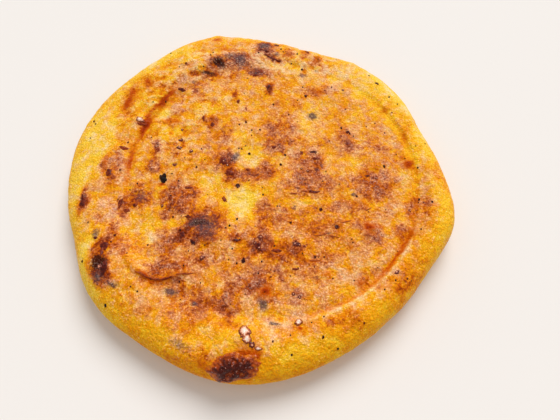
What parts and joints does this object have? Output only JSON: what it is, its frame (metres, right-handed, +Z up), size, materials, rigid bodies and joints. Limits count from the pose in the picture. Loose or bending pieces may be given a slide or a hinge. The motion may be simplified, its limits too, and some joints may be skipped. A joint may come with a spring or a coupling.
{
  "type": "hotteok",
  "caption": "Round flat filled griddle bread with a pressed face, a ring left by the press, a puffed uneven rim and burst syrup at its edge.",
  "frame": {"origin": "on the flat fried underside, below the middle of the outline's box", "axes": "+Z up through the pressed face; -Y towards the side where the syrup has burst out of the rim; +X to the right of that side"},
  "size_m": [0.132, 0.1342, 0.0141],
  "materials": {
    "fried_dough": "fried golden dough, mottled brown, with an oily sheen"
  },
  "bodies": {
    "root": {"hotteok": "fried_dough"}
  },
  "joints": []
}
